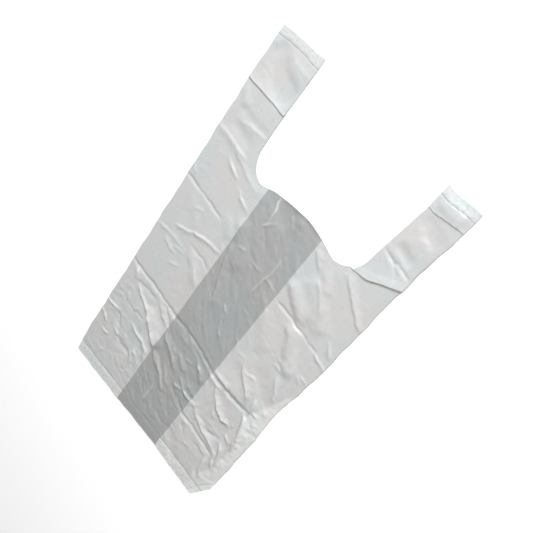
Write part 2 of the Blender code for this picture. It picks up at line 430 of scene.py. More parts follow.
@dataclass
class SlackFilm:
    """How high the slack film stands over the plan, on a fine grid.

    Args:
        low: The grid's lower left corner, in plan mm.
        high: Its upper right corner.
        cell: The grid's spacing, in mm.
        rest: How high slack film stands where nothing creases it, in mm.
        floor: How close it comes to what lies below it, in mm.
        landing: How gently it comes down to that, in mm.
        crispness: How far the film's stiffness rounds a crease off, in mm.
        raggedness: How far a crease strays from its line, in mm.
        stray: Over what distance it strays, in mm.
        unevenness: How much keener or flatter a small crease is from place to place.
        uneven_reach: Over what distance it changes so, in mm.
        small: How far a crease may reach to either side and still be a small one, in mm.
        ending: How much of a crease's length each of its ends takes to run out.
        longest_ending: The most that an end takes, in mm.
        ridge: Half the width of the pale line along a ridge, in mm: partly film gone white under
            stretch, partly a painted highlight.
        hollow: How wide a ridge the film below can't follow, in mm.
        hidden_blur: How far the film below is evened out, in mm.
        hidden_share: How much of the front panel's lowest height the film below fills.
        liveliness: How strongly the film is creased at heights up the bag, in plan mm.
    """

    low: Point = (-14.0, -18.0)
    high: Point = (270.0, 482.0)
    cell: float = 0.75
    rest: float = 1.1
    floor: float = 0.1
    landing: float = 0.25
    crispness: float = 0.38
    raggedness: float = 0.45
    stray: float = 2.2
    unevenness: float = 0.3
    uneven_reach: float = 3.0
    small: float = 6.5
    ending: float = 0.3
    longest_ending: float = 12.0
    ridge: float = 0.8
    hollow: float = 6.0
    hidden_blur: float = 2.2
    hidden_share: float = 0.92
    liveliness: tuple[Point, ...] = ((135, 1.65), (180, 1.15), (330, 1.15), (350, 0.9), (440, 0.9))
    x: np.ndarray = field(init=False)
    y: np.ndarray = field(init=False)
    heights: np.ndarray = field(init=False)
    settled: np.ndarray = field(init=False)
    whitened_and_highlighted: np.ndarray = field(init=False)

    def __post_init__(self) -> None:
        """Lays out the grid, and the small irregularities that no crease is without."""
        self.x = np.arange(self.low[0], self.high[0], self.cell)
        self.y = np.arange(self.low[1], self.high[1], self.cell)
        self.heights = np.zeros((len(self.y), len(self.x)))
        self.settled = self.heights
        self.whitened_and_highlighted = np.zeros_like(self.heights)
        random = np.random.default_rng(2)
        shake = [random.standard_normal(self.heights.shape) for _ in range(3)]
        self.shift_x, self.shift_y = (
            self.evened(grid, self.stray) * self.raggedness for grid in shake[:2]
        )
        uneven = self.unevenness * self.evened(shake[2], self.uneven_reach)
        self.keenness = np.clip(1.0 + uneven, 0.3, 1.7)

    def evened(self, grid: np.ndarray, reach: float) -> np.ndarray:
        """Blurs a grid of random numbers, and brings it back to a standard deviation of 1."""
        soft = self.blurred(grid, reach)
        return soft / soft.std()

    def press(self, crease: Crease) -> None:
        """Adds one crease to the grid.

        Args:
            crease: The crease.
        """
        points = np.array(crease.points, float)
        reach = max(crease.upper, crease.lower)
        first = np.searchsorted(self.x, points[:, 0].min() - reach)
        last = np.searchsorted(self.x, points[:, 0].max() + reach)
        bottom = np.searchsorted(self.y, points[:, 1].min() - reach)
        top = np.searchsorted(self.y, points[:, 1].max() + reach)
        window = (slice(bottom, top), slice(first, last))
        x, y = np.meshgrid(self.x[first:last], self.y[bottom:top])
        x, y = x + self.shift_x[window], y + self.shift_y[window]
        nearest = np.full(x.shape, np.inf)
        side = np.zeros(x.shape)
        along = np.zeros(x.shape)
        walked = 0.0
        for start, end in zip(points, points[1:]):
            length = float(np.hypot(*(end - start)))
            ux, uy = (end - start) / length
            dx, dy = x - start[0], y - start[1]
            step = np.clip(dx * ux + dy * uy, 0.0, length)
            away = np.hypot(dx - step * ux, dy - step * uy)
            closer = away < nearest
            nearest = np.where(closer, away, nearest)
            side = np.where(closer, ux * dy - uy * dx, side)
            along = np.where(closer, walked + step, along)
            walked += length
        t = np.clip(nearest / np.where(side > 0, crease.upper, crease.lower), 0.0, 1.0)
        shape = (1.0 - t) ** 2 if crease.form is Form.SHARP else 0.5 + 0.5 * np.cos(math.pi * t)
        ending = min(self.ending * walked, self.longest_ending)
        fade = smooth(np.minimum(along, walked - along) / ending)
        if reach < self.small:
            fade = fade * self.keenness[window]
        self.heights[window] += crease.height * shape * fade
        # A pale line along the crest: partly film gone white under stretch, partly a painted
        # highlight.
        line = crease.whitening_and_highlight * np.exp(-((nearest / self.ridge) ** 2)) * fade
        self.whitened_and_highlighted[window] = np.maximum(self.whitened_and_highlighted[window], line)

    def crumple(self, crumple: Crumple) -> None:
        """Scatters the small creases that handling leaves in film.

        Args:
            crumple: Where, how many and of what kind.
        """
        random = np.random.default_rng(crumple.seed)
        for _ in range(crumple.count):
            middle = random.uniform(crumple.low, crumple.high)
            mean, spread = crumple.turns[random.integers(len(crumple.turns))]
            turn = math.radians(random.normal(mean, spread))
            length = random.uniform(*crumple.lengths)
            reach = np.array((math.cos(turn), math.sin(turn))) * length / 2
            across = np.array((-reach[1], reach[0])) * random.normal(0.0, crumple.bend)
            points = (middle - reach, middle + across, middle + reach)
            height = random.choice((-1.0, 1.0)) * random.uniform(*crumple.heights)
            near, far = random.uniform(*crumple.keen_side), random.uniform(*crumple.slack_side)
            sides = (near, far) if random.random() < 0.5 else (far, near)
            self.press(Crease(height, *sides, tuple(tuple(p) for p in points)))

    def swell(self, count: int, seed: int) -> None:
        """Scatters long soft swells, which run down to the right as the bag was pulled.

        Args:
            count: How many.
            seed: Makes the same ones each time.
        """
        random = np.random.default_rng(seed)
        slant, slant_spread, height_spread = -42.0, 14.0, 0.55
        reaches, widths = (14.0, 45.0), (8.0, 20.0)
        for _ in range(count):
            middle = random.uniform((0.0, 20.0), (FACE, LENGTH))
            turn = math.radians(random.normal(slant, slant_spread))
            reach = np.array((math.cos(turn), math.sin(turn))) * random.uniform(*reaches)
            height = random.normal(0.0, height_spread)
            width = random.uniform(*widths)
            points = (tuple(middle - reach), tuple(middle + reach))
            self.press(Crease(height, width, width * 0.8, points, Form.SOFT))

    def pucker(self, y: float, start: float, end: float, seed: int) -> None:
        """Adds the short gathers that a heat seal draws into the film on both its sides.

        Args:
            y: Where the seal lies, in plan mm.
            start: Where it starts, across the bag.
            end: Where it ends.
            seed: Makes the same ones each time.
        """
        random = np.random.default_rng(seed)
        spacings, lengths, heights = (2.5, 8.0), (4.0, 10.0), (0.06, 0.22)
        slant, width = 1.6, 2.2
        x = start
        while x < end:
            x += random.uniform(*spacings)
            way = random.choice((-1.0, 1.0))
            tip = (x + random.normal(0.0, slant), y + way * random.uniform(*lengths))
            self.press(Crease(random.uniform(*heights), width, width, ((x, y), tip)))

    def blurred(self, grid: np.ndarray, reach: float) -> np.ndarray:
        """Blurs a grid.

        Args:
            grid: The grid.
            reach: The blur's standard deviation, in mm.

        Returns:
            The blurred grid.
        """
        half = max(1, round(2.5 * reach / self.cell))
        offsets = np.arange(-half, half + 1)
        weights = np.exp(-0.5 * (offsets * self.cell / reach) ** 2)
        weights /= weights.sum()
        for axis in (0, 1):
            padded = np.pad(grid, [(half, half) if a == axis else (0, 0) for a in (0, 1)], "edge")
            size = grid.shape[axis]
            grid = sum(
                w * np.take(padded, range(i, i + size), axis) for i, w in enumerate(weights)
            )
        return grid

    def settle(self) -> None:
        """Turns the sum of creases into a height above what lies below, and finds the hidden film."""
        liveliness = between(self.liveliness, self.y)[:, None]
        raised = self.blurred(self.heights * liveliness, self.crispness) + self.rest
        landed = np.logaddexp(0.0, (raised - self.floor) / self.landing)
        self.heights = self.floor + self.landing * landed
        lowest = self.heights
        for _ in range(round(self.hollow / self.cell)):
            lowest = np.pad(lowest, 1, "edge")
            lowest = np.minimum.reduce([lowest[:-2], lowest[1:-1], lowest[2:]])
            lowest = np.minimum.reduce([lowest[:, :-2], lowest[:, 1:-1], lowest[:, 2:]])
        self.settled = self.hidden_share * self.blurred(lowest, self.hidden_blur)

    def read(self, grid: np.ndarray, x: np.ndarray, y: np.ndarray) -> np.ndarray:
        """Reads a grid between its points.

        Args:
            grid: The grid.
            x: Places across the bag, in mm.
            y: Places up the bag, in mm.

        Returns:
            The grid's value at each place.
        """
        u = np.clip((x - self.low[0]) / self.cell, 0, len(self.x) - 1.001)
        v = np.clip((y - self.low[1]) / self.cell, 0, len(self.y) - 1.001)
        i, j = u.astype(int), v.astype(int)
        u, v = u - i, v - j
        below = grid[j, i] * (1 - u) + grid[j, i + 1] * u
        above = grid[j + 1, i] * (1 - u) + grid[j + 1, i + 1] * u
        return below * (1 - v) + above * v


@dataclass
class Lay:
    """Where each place in the flat film comes to lie in plan.

    Its tables give a distance for heights up the bag, all in mm.

    Args:
        right_edge: How far the right side lies to the right of its flat place.
        handle_lean: How far the right handle's inner edge does.
        crushed_edge: Where across the bag the crushed strip along the right side begins.
        back_slip: How far the back leaf shows past the front one at the right.
        corner_drop: How far the lower right corner is pulled down, in mm.
        mouth_drop: How far the mouth sags beside the right handle, in mm.
        skirt_drop: How far the skirt is drawn down at the left, in mm.
        skirt_slip: How far it spreads below the seal, in mm.
        tip_drop: How far the right handle's inner top corner lies lower, in mm.
        top_gap: How far the left handle's front leaf ends short of its back one, in mm.
    """

    right_edge: tuple[Point, ...] = (
        *((42, -4), (80, -4), (120, -5), (150, -7), (175, -7.5), (200, -4)),
        *((240, -2.2), (320, -1.6), (345, -1.5), (382, 0), (415, 3), (453, 5)),
    )
    handle_lean: tuple[Point, ...] = ((345, 0), (377, 2.4), (396, 5), (427, 8), (453, 9))
    crushed_edge: tuple[Point, ...] = (
        *((12, 219), (45, 228), (64, 231.5), (96, 231.5), (120, 224)),
        *((131, 219), (150, 226), (185, 238), (205, 246)),
    )
    back_slip: tuple[Point, ...] = ((28, 1), (60, 0.5), (340, 0.5), (358, 0.9), (395, 0.9), (420, 0.3))
    corner_drop: float = 3.5
    mouth_drop: float = 2.0
    skirt_drop: float = 1.0
    skirt_slip: float = 1.6
    tip_drop: float = 2.8
    top_gap: float = 3.2

    def shoulder(self, x: np.ndarray) -> np.ndarray:
        """How far each place has come over to the right side, from 0 to 1."""
        return smooth((x - 203.0) / 45.0)

    def across(self, x: np.ndarray, y: np.ndarray) -> np.ndarray:
        """How far the film lies to the right of its flat place."""
        shoulder = self.shoulder(x)
        outer = between(self.right_edge, y)
        inner = between(self.handle_lean, y) * (x > FACE_MIDDLE)
        right = outer * shoulder + inner * (1.0 - shoulder)
        # The left handle's top spreads to the right, and the whole left side stands in a little.
        left_top = smooth((y - 395.0) / 80.0) * (1.2 + 0.9 * x / HANDLE_EDGES[0])
        left_side = 1.2 + 1.6 * smooth((34.0 - y) / 34.0)
        # Edges waver where the film is free, and hardly at all along the band.
        waver = 0.35 * np.sin(y / 9.7 + x / 31.0) + 0.25 * np.sin(y / 4.3 - x / 17.0 + 1.0)
        waver = waver * (0.25 + 0.75 * smooth((np.abs(x - FACE_MIDDLE) - 60.0) / 50.0))
        return right + left_top * (x < FACE_MIDDLE) + left_side * smooth((80.0 - x) / 70.0) + waver

    def along(self, x: np.ndarray, y: np.ndarray) -> np.ndarray:
        """How far the film lies above its flat place."""
        towards_corner = np.clip((x - 150.0) / 75.0, 0.0, 1.2) ** 1.5
        corner = -self.corner_drop * towards_corner * smooth((24.0 - y) / 26.0)
        beside_handle = smooth((x - 135.0) / 45.0)
        mouth = -self.mouth_drop * beside_handle * np.exp(-(((y - 335.0) / 30.0) ** 2))
        waver = 0.3 * np.sin(x / 7.9 + y / 40.0) + 0.2 * np.sin(x / 3.7 + y / 29.0 + 2.0)
        skirt = -self.skirt_drop * smooth((60.0 - y) / 50.0) * smooth((150.0 - x) / 60.0)
        skirt = skirt - self.skirt_slip * smooth((BOTTOM_SEAL - 1.5 - y) / 12.0)
        up_handle = smooth((y - 380.0) / 60.0) * (x > FACE_MIDDLE)
        tip = -self.tip_drop * up_handle * smooth((240.0 - x) / 32.0)
        return corner + mouth + waver + skirt + tip

    def crushed(self, x: np.ndarray, y: np.ndarray) -> np.ndarray:
        """How fully each place in plan lies in the crushed right edge, from 0 to 1."""
        inside = x - between(self.crushed_edge, y)
        return smooth(inside / 4.0) * smooth((206.0 - y) / 20.0)

    def slip(self, y: np.ndarray) -> np.ndarray:
        """How far the back leaf shows past the front one at the right."""
        return between(self.back_slip, y)


@dataclass
class FlatTube:
    """The bag as it leaves the punch: a tube of film pressed flat, tucked in at both sides.

    Its mesh lies in a space of its own: across the film, along it, and up through the layers, where
    0 is the back panel, 1 and 2 are the two halves of each tuck and 3 is the front panel.

    Args:
        fine: The mesh's spacing on the front panel, in mm.
        coarse: Its spacing across the hidden film, in mm.
        fold_steps: How many steps the film takes round each fold.
        foot_steps: How many rows each handle's curved foot has.
        pleat_fine: The rows' spacing in and near a pleat, in mm.
        closest: The least spacing of two rows on a handle, in mm.
        arch_start: How far up the bag the rows begin to bend towards the mouth's arch, in mm.
    """

    fine: float = 1.25
    coarse: float = 8.0
    fold_steps: int = 4
    foot_steps: int = 25
    pleat_fine: float = 0.6
    closest: float = 0.35
    arch_start: float = 285.0
    lane: np.ndarray = field(init=False)
    level: np.ndarray = field(init=False)

    def __post_init__(self) -> None:
        """Sets out the columns round the tube, from the front panel's left edge clockwise."""
        inner_left, inner_right = GUSSET, FACE - GUSSET
        columns = [
            self.panel(0.0, FACE, 3, self.fine),
            self.turn(FACE, 3, -1),
            self.panel(FACE, inner_right, 2, self.coarse),
            self.turn(inner_right, 2, -1),
            self.panel(inner_right, FACE, 1, self.coarse),
            self.turn(FACE, 1, -1),
            self.panel(FACE, 0.0, 0, self.coarse),
            self.turn(0.0, 0, 1),
            self.panel(0.0, inner_left, 1, self.coarse),
            self.turn(inner_left, 1, 1),
            self.panel(inner_left, 0.0, 2, self.coarse),
            self.turn(0.0, 2, 1),
        ]
        self.lane, self.level = np.concatenate(columns, axis=1)

    def panel(self, start: float, end: float, level: float, spacing: float) -> np.ndarray:
        """One layer's columns, with one on every line where the cut or a fold passes."""
        stops = [*CORNERS, GUSSET, FACE - GUSSET]
        inner = [s for s in stops if min(start, end) < s < max(start, end)]
        marks = sorted([start, *inner, end], reverse=end < start)
        lanes = [
            np.linspace(a, b, max(1, round(abs(b - a) / spacing)), endpoint=False)
            for a, b in zip(marks, marks[1:])
        ]
        across = np.concatenate([*lanes, [end]])
        return np.stack((across, np.full(across.shape, float(level))))

    def turn(self, lane: float, level: float, way: float) -> np.ndarray:
        """A fold's columns, from one layer to the next."""
        angle = math.pi * np.arange(1, self.fold_steps) / self.fold_steps
        heights = level + way * (1.0 - np.cos(angle)) / 2.0
        return np.stack((np.full(heights.shape, lane), heights))

    def body_rows(self) -> tuple[np.ndarray, np.ndarray]:
        """The rows from the skirt to the mouth, as places across and along the film."""
        middle = (CORNERS[0] + CORNERS[1]) / 2
        half = (CORNERS[1] - CORNERS[0]) / 2
        radius = (half**2 + ARCH_RISE**2) / (2 * ARCH_RISE)
        across = np.clip(self.lane - middle, -half, half)
        arch = ARCH_RISE - radius + np.sqrt(radius**2 - across**2)
        steps = np.linspace(0.0, MOUTH, round(MOUTH / self.fine) + 1)[:, None]
        v = steps + arch * smooth((steps - self.arch_start) / (MOUTH - self.arch_start))
        return np.broadcast_to(self.lane, v.shape), v

    def handle_rows(self, side: int) -> tuple[np.ndarray, np.ndarray]:
        """The rows of one handle, from the mouth's corner to its top.

        Args:
            side: 0 for the left handle and 1 for the right one.

        Returns:
            Places across and along the film.
        """
        angle = np.linspace(0.0, math.pi / 2, self.foot_steps + 1)[1:]
        steps = list(MOUTH + FOOT_HEIGHT * (1.0 - np.cos(angle)))
        steps += list(np.arange(MOUTH + FOOT_HEIGHT, LENGTH, self.fine))
        for pleat in PLEATS:
            if (pleat.start[0] > FACE_MIDDLE) == bool(side):
                low, high = sorted((pleat.start[1], pleat.end[1]))
                steps += list(np.arange(low - 6.0, high + 14.0, self.pleat_fine))
        kept = [MOUTH]
        for v in sorted(steps):
            if v - kept[-1] > self.closest:
                kept.append(v)
        v = np.array([*kept[1:], LENGTH])[:, None]
        corner, edge = CORNERS[side], HANDLE_EDGES[side]
        rise = np.clip((MOUTH + FOOT_HEIGHT - v) / FOOT_HEIGHT, 0.0, 1.0)
        cut = corner + (edge - corner) * np.sqrt(1.0 - rise**2)
        outer = FACE * side
        x = outer + (self.lane - outer) * (cut - outer) / (corner - outer)
        return x, np.broadcast_to(v, x.shape)

    def mesh(self) -> bpy.types.Mesh:
        """Makes the tube's mesh in its own space.

        Returns:
            The mesh.
        """
        after = (np.arange(len(self.lane)) + 1) % len(self.lane)
        blocks = (
            (self.body_rows(), self.lane > -1.0),
            (self.handle_rows(0), self.lane <= CORNERS[0]),
            (self.handle_rows(1), self.lane >= CORNERS[1]),
        )
        places: list[np.ndarray] = []
        faces: list[np.ndarray] = []
        total = 0
        rim = np.empty(0, int)
        for (x, v), member in blocks:
            size = x.shape[0] * int(member.sum())
            index = np.full(x.shape, -1)
            index[:, member] = total + np.arange(size).reshape(x.shape[0], -1)
            total += size
            points = np.stack((x, v, np.broadcast_to(self.level, x.shape)), axis=-1)
            places.append(points[:, member].reshape(-1, 3))
            if rim.size:
                index = np.vstack((np.where(member, rim, -1), index))
            else:
                rim = index[-1]
            pairs = member & member[after]
            corners = (
                index[:-1][:, pairs],
                index[:-1][:, after[pairs]],
                index[1:][:, after[pairs]],
                index[1:][:, pairs],
            )
            faces.append(np.stack(corners, axis=-1).reshape(-1, 4))
        mesh = bpy.data.meshes.new("film")
        mesh.from_pydata(np.concatenate(places), [], np.concatenate(faces))
        return mesh


@dataclass
class CarrierBag:
    """The bag's film, from its flat cut to the way it lies.

    Args:
        film: The film's thickness, drawn about three times as thick as life, in mm.
        limit: The most triangles that the bag is made of.
        shares: How much of the slack height each layer takes, from the back panel up.
        ridge_white_and_highlight: How pale a sharp ridge's crest is painted: partly film gone white
            under stretch, partly a painted highlight.
        keenness: How much the named creases are raised: left, band, right and handles.
        sag: How far the front panel sinks between the tucks, in layers.
        held: How much slack is left at an edge, and how far it takes to be free, in mm.
        folded: The same at the corner's fold, where the film is pinned.
        seal_grip: Half the width of the dip along a seal, in mm.
        seal_dip: How much closer a seal brings the layers.
        seal_flat: How much of the front panel's slack it takes out.
        hard_edge: From what angle the film is shaded as a sharp edge, in degrees.
        turned_pale: How pale the film is over the turned corner.
        crushed_pale: How pale it is in the crushed strip.
        pleat_pale_and_highlight: How pale it is over a pleat.
        corner_painted_light: How far in from its fold the back leaf is painted pale, in mm: it shows
            as a strip past
        the front leaf, and the paleness is painted light that brightens it where the front leaf's edge
        shades it.
    """

    film: float = 0.05
    limit: int = 194_000
    shares: tuple[float, ...] = (0.3, 0.5, 0.78, 1.0)
    ridge_white_and_highlight: float = 0.25
    keenness: tuple[float, ...] = (1.25, 1.5, 1.5, 1.0)
    sag: float = 1.6
    held: Point = (0.5, 10.0)
    folded: Point = (0.12, 16.0)
    seal_grip: float = 0.75
    seal_dip: float = 0.6
    seal_flat: float = 0.2
    hard_edge: float = 50.0
    turned_pale: float = 0.55
    crushed_pale: float = 0.6
    # pleat_pale_and_highlight: How pale it is over a pleat: partly for the film lapped there, partly a
    # painted highlight along the lap's fold edge.
    pleat_pale_and_highlight: float = 0.15
    corner_painted_light: float = 30.5
    tube: FlatTube = field(default_factory=FlatTube)
    slack: SlackFilm = field(default_factory=SlackFilm)
    lay: Lay = field(default_factory=Lay)
    fold: CornerFold = field(default_factory=CornerFold)

    def __post_init__(self) -> None:
        """Presses every crease into the slack film."""
        groups = (LEFT_CREASES, BAND_CREASES, RIGHT_CREASES, HANDLE_CREASES)
        for group, keenness in zip(groups, self.keenness):
            for crease in group:
                # Every raised sharp crease gets a pale line along its crest: partly film gone white
                # under stretch, partly a painted highlight.
                ridge = crease.form is Form.SHARP and crease.height > 0.0
                whitening_and_highlight = max(crease.whitening_and_highlight, self.ridge_white_and_highlight * ridge)
                height = crease.height * keenness
                self.slack.press(replace(crease, height=height, whitening_and_highlight=whitening_and_highlight))
        for crumple in CRUMPLES:
            self.slack.crumple(crumple)
        self.slack.swell(26, seed=5)
        # The pleats below them bring the handles' seals down in plan, the right one further.
        self.slack.pucker(BOTTOM_SEAL, 2.0, 222.0, seed=3)
        self.slack.pucker(HANDLE_SEAL - 3.0, 3.0, 55.0, seed=4)
        self.slack.pucker(HANDLE_SEAL - 12.5, 217.0, 253.0, seed=6)
        self.slack.settle()

    def pleated(self, x: np.ndarray, v: np.ndarray) -> tuple[np.ndarray, ...]:
        """Slides the film back over itself at its pleats.

        Args:
            x: Places across the film, in mm.
            v: Places along it, in mm.

        Returns:
            How far each place slides, how far it is lifted, and how far the way up through its
            layers leans along the bag and stands upright.
        """
        slide, lift = np.zeros_like(x), np.zeros_like(x)
        lean, stand = np.zeros_like(x), np.ones_like(x)
        step = 0.05
        for pleat in PLEATS:
            q, here = pleat.past(x, v), pleat.covers(x)
            slide += pleat.slide(q) * here
            lift += pleat.rise(q) * here
            forward = 1.0 + (pleat.slide(q + step) - pleat.slide(q - step)) / (2 * step)
            upward = (pleat.rise(q + step) - pleat.rise(q - step)) / (2 * step)
            size = np.hypot(forward, upward)
            lean += -upward / size * here
            stand += (forward / size - 1.0) * here
        return slide, lift, lean, stand

    def pressed(self, x: np.ndarray, v: np.ndarray) -> np.ndarray:
        """How firmly a seal holds each place down, from 0 to 1: it took unevenly."""
        seal = np.minimum(np.abs(v - BOTTOM_SEAL), np.abs(v - HANDLE_SEAL))
        uneven = 0.65 + 0.35 * np.sin(x / 2.7 + 2.0 * np.sin(x / 6.1))
        return np.exp(-((seal / self.seal_grip) ** 2)) * uneven

    def freedom(self, x: np.ndarray, v: np.ndarray, beyond: np.ndarray) -> np.ndarray:
        """How freely each place can stand up, from nearly 0 at the corner's fold to 1."""
        held, ease = self.held
        folded, fold_ease = self.folded
        free = held + (1.0 - held) * smooth(clearance(x, v) / ease)
        return free * (folded + (1.0 - folded) * smooth(-beyond / fold_ease))

    def place(self, flat: np.ndarray) -> np.ndarray:
        """Lays the film down.

        Args:
            flat: Places in the flat tube's own space, one row for each.

        Returns:
            Places in plan mm, and their heights.
        """
        x, v, level = flat.T
        leaf = np.where(level > 1.5, 1.0, 0.0)
        across, along = self.fold.outward()
        beyond = self.fold.beyond(x, v, leaf)
        turned = beyond > self.fold.near_line
        away = np.where(turned, 2.0 * beyond, 0.0)
        x, v = x - away * across, v - away * along
        slide, lift, lean, stand = self.pleated(x, v)
        y = v + slide
        shoulder = self.lay.shoulder(x) * (1.0 - leaf)
        top_gap = smooth((x - 36.0) / 20.0) * smooth((v - 445.0) / 20.0) * (x < FACE_MIDDLE)
        laid_x = x + self.lay.across(x, y) + self.lay.slip(y) * shoulder + self.bulge(x, level)
        laid_y = y + self.lay.along(x, y) - self.lay.top_gap * top_gap * leaf
        pressed = self.pressed(x, v)
        free = self.freedom(x, v, beyond)
        high = self.slack.read(self.slack.heights, laid_x, laid_y) * free
        low = self.slack.read(self.slack.settled, laid_x, laid_y) * free
        base = self.shares[0] * low
        front = np.clip(level - 2.0, 0.0, 1.0)
        above = front * high + (1.0 - front) * np.interp(level, range(4), self.shares) * low - base
        within = FACE_MIDDLE - GUSSET - np.abs(x - FACE_MIDDLE)
        sag = self.sag * front * smooth(within / 3.0)
        stack = (level - sag) * PITCH * (1.0 - self.seal_dip * pressed)
        # Over the turned corner the back leaf lies on two turned layers, and the front leaf on four.
        stack = stack + self.fold.covers(x, v) * (2.0 * leaf + 2.0) * PITCH
        laid_z = self.film + stack * stand + base + above * (1.0 - self.seal_flat * pressed) + lift
        # A leaf's two layers change places as they turn, the outer one going round the inner one.
        local = level - 2.0 * leaf
        edge = np.abs(beyond) < self.fold.near_line
        laid_z = np.where(turned, self.film + (4.0 * leaf + 1.0 - local) * PITCH, laid_z)
        laid_z = np.where(edge, self.film + (4.0 * leaf + 1.5) * PITCH, laid_z)
        laid_x = laid_x + np.where(edge, local * PITCH * across, 0.0)
        laid_y = laid_y + np.where(edge, local * PITCH * along, 0.0) + stack * lean
        return np.stack((laid_x, laid_y, laid_z), axis=-1)

    def bulge(self, x: np.ndarray, level: np.ndarray) -> np.ndarray:
        """How far a fold's round stands out of its line."""
        part = level - np.floor(level)
        size = np.sqrt(part * (1.0 - part)) * PITCH
        outward = np.sign(x - FACE_MIDDLE)
        return np.where((level > 1.0) & (level < 2.0), -outward, outward) * size

    def laps_and_painted_light(self, x: np.ndarray, v: np.ndarray, level: np.ndarray) -> np.ndarray:
        """How much paler each place is, from 0 to 1: for film lapped or crushed below it, with a
        painted highlight over each pleat and painted light on the back leaf's strip by the corner.
        """
        covered = self.turned_pale * self.fold.covers(x, v)
        crushed = self.lay.crushed(x + self.lay.across(x, v), v)
        covered = np.maximum(covered, self.crushed_pale * crushed)
        # Over a pleat the film is paler partly for its lap and partly for a painted highlight where
        # the fold edge catches the light.
        for pleat in PLEATS:
            q = pleat.past(x, v)
            strip = smooth(q / pleat.run) * smooth((pleat.run + pleat.depth - q) / 1.5)
            covered = np.maximum(covered, self.pleat_pale_and_highlight * strip * pleat.covers(x))
        # Painted light: the back leaf's strip past the front leaf at the corner is painted fully pale,
        # over the shade of the front leaf's edge.
        beyond = self.fold.beyond(x, v, np.zeros_like(x))
        painted_pale_by_corner = (level < 1.5) & (beyond > -self.corner_painted_light)
        return np.where(painted_pale_by_corner, 1.0, covered)

    def build(self) -> bpy.types.Object:
        """Makes the bag as one closed film.

        Returns:
            The bag's object.
        """
        mesh = self.tube.mesh()
        self.score(mesh)
        flat = np.zeros(3 * len(mesh.vertices), np.float32)
        mesh.vertices.foreach_get("co", flat)
        flat = flat.reshape(-1, 3).astype(float)
        corner = np.array(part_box("carrier_bag")[0])
        laid = self.place(flat)
        mesh.vertices.foreach_set("co", (laid * MM + corner).astype(np.float32).ravel())
        loops = np.zeros(len(mesh.loops), np.int32)
        mesh.loops.foreach_get("vertex_index", loops)
        layer = mesh.uv_layers.new(name="flat_film")
        layer.data.foreach_set("uv", (flat[loops, :2] * MM).astype(np.float32).ravel())
        front = flat[:, 2] > 2.5
        # Pale lines along ridge crests: partly film gone white under stretch, partly a painted
        # highlight.
        stretched_and_highlighted = self.slack.read(self.slack.whitened_and_highlighted, laid[:, 0], laid[:, 1]) * front
        paler = np.maximum(self.laps_and_painted_light(*flat.T), stretched_and_highlighted)
        laps_and_painted_light = mesh.attributes.new("film_paleness_and_painted_light", "FLOAT", "POINT")
        laps_and_painted_light.data.foreach_set("value", paler.astype(np.float32))
        mesh.update()
        bag = bpy.data.objects.new("film_bag", mesh)
        bpy.context.scene.collection.objects.link(bag)
        self.thicken(bag, front)
        return bag

    def score(self, mesh: bpy.types.Mesh) -> None:
        """Cuts an edge along each leaf's corner fold, so that it turns on a straight line.

        Args:
            mesh: The tube's mesh, in its own space.
        """
        solid = bmesh.new()
        solid.from_mesh(mesh)
        across, along = self.fold.outward()
        for leaf in (0, 1):
            near = []
            for face in solid.faces:
                start = face.verts[0].co
                if start.x > 200.0 and start.y < 60.0:
                    if (face.calc_center_median().z > 1.5) == bool(leaf):
                        near.append(face)
            edges = {e for f in near for e in f.edges}
            verts = {v for f in near for v in f.verts}
            point = (*self.fold.on_line(leaf), 0.0)
            bmesh.ops.bisect_plane(
                solid,
                geom=[*verts, *edges, *near],
                dist=0.001,
                plane_co=point,
                plane_no=(across, along, 0.0),
            )
        solid.to_mesh(mesh)
        solid.free()

    def thicken(self, bag: bpy.types.Object, front: np.ndarray) -> None:
        """Gives the film its thickness, and thins out the mesh where nobody looks.

        Args:
            bag: The bag's object.
            front: Which of its points belong to the front panel.
        """
        bpy.ops.object.select_all(action="DESELECT")
        bpy.context.view_layer.objects.active = bag
        bag.select_set(True)
        wall = bag.modifiers.new("film_wall", "SOLIDIFY")
        wall.thickness = self.film * MM
        wall.offset = -1.0
        bpy.ops.object.modifier_apply(modifier=wall.name)
        hidden = bag.vertex_groups.new(name="hidden_film")
        seen = np.zeros(len(bag.data.vertices), bool)
        seen[: len(front)] = front
        hidden.add(np.flatnonzero(~seen).tolist(), 1.0, "REPLACE")
        triangles = sum(len(face.vertices) - 2 for face in bag.data.polygons)
        thin = bag.modifiers.new("thin_out", "DECIMATE")
        thin.ratio = min(1.0, self.limit / triangles)
        thin.vertex_group = hidden.name
        thin.vertex_group_factor = 1.0
        bpy.ops.object.modifier_apply(modifier=thin.name)
        bag.vertex_groups.clear()
        bpy.ops.object.shade_smooth_by_angle(angle=math.radians(self.hard_edge))


def add_node(
    tree: bpy.types.NodeTree,
    kind: str,
    settings: dict[str | int, object] | None = None,
    links: dict[str | int, bpy.types.NodeSocket] | None = None,
) -> bpy.types.Node:
    """Adds a node with its settings and its links.

    Args:
        tree: The material's tree.
        kind: The node's type.
        settings: Values by the name of a property or a socket, or by a socket's number.
        links: Where each named or numbered input comes from.

    Returns:
        The node.
    """
    node = tree.nodes.new(kind)
    for name, value in (settings or {}).items():
        if isinstance(name, str) and hasattr(node, name):
            setattr(node, name, value)
        else:
            node.inputs[name].default_value = value
    for name, source in (links or {}).items():
        tree.links.new(source, node.inputs[name])
    return node


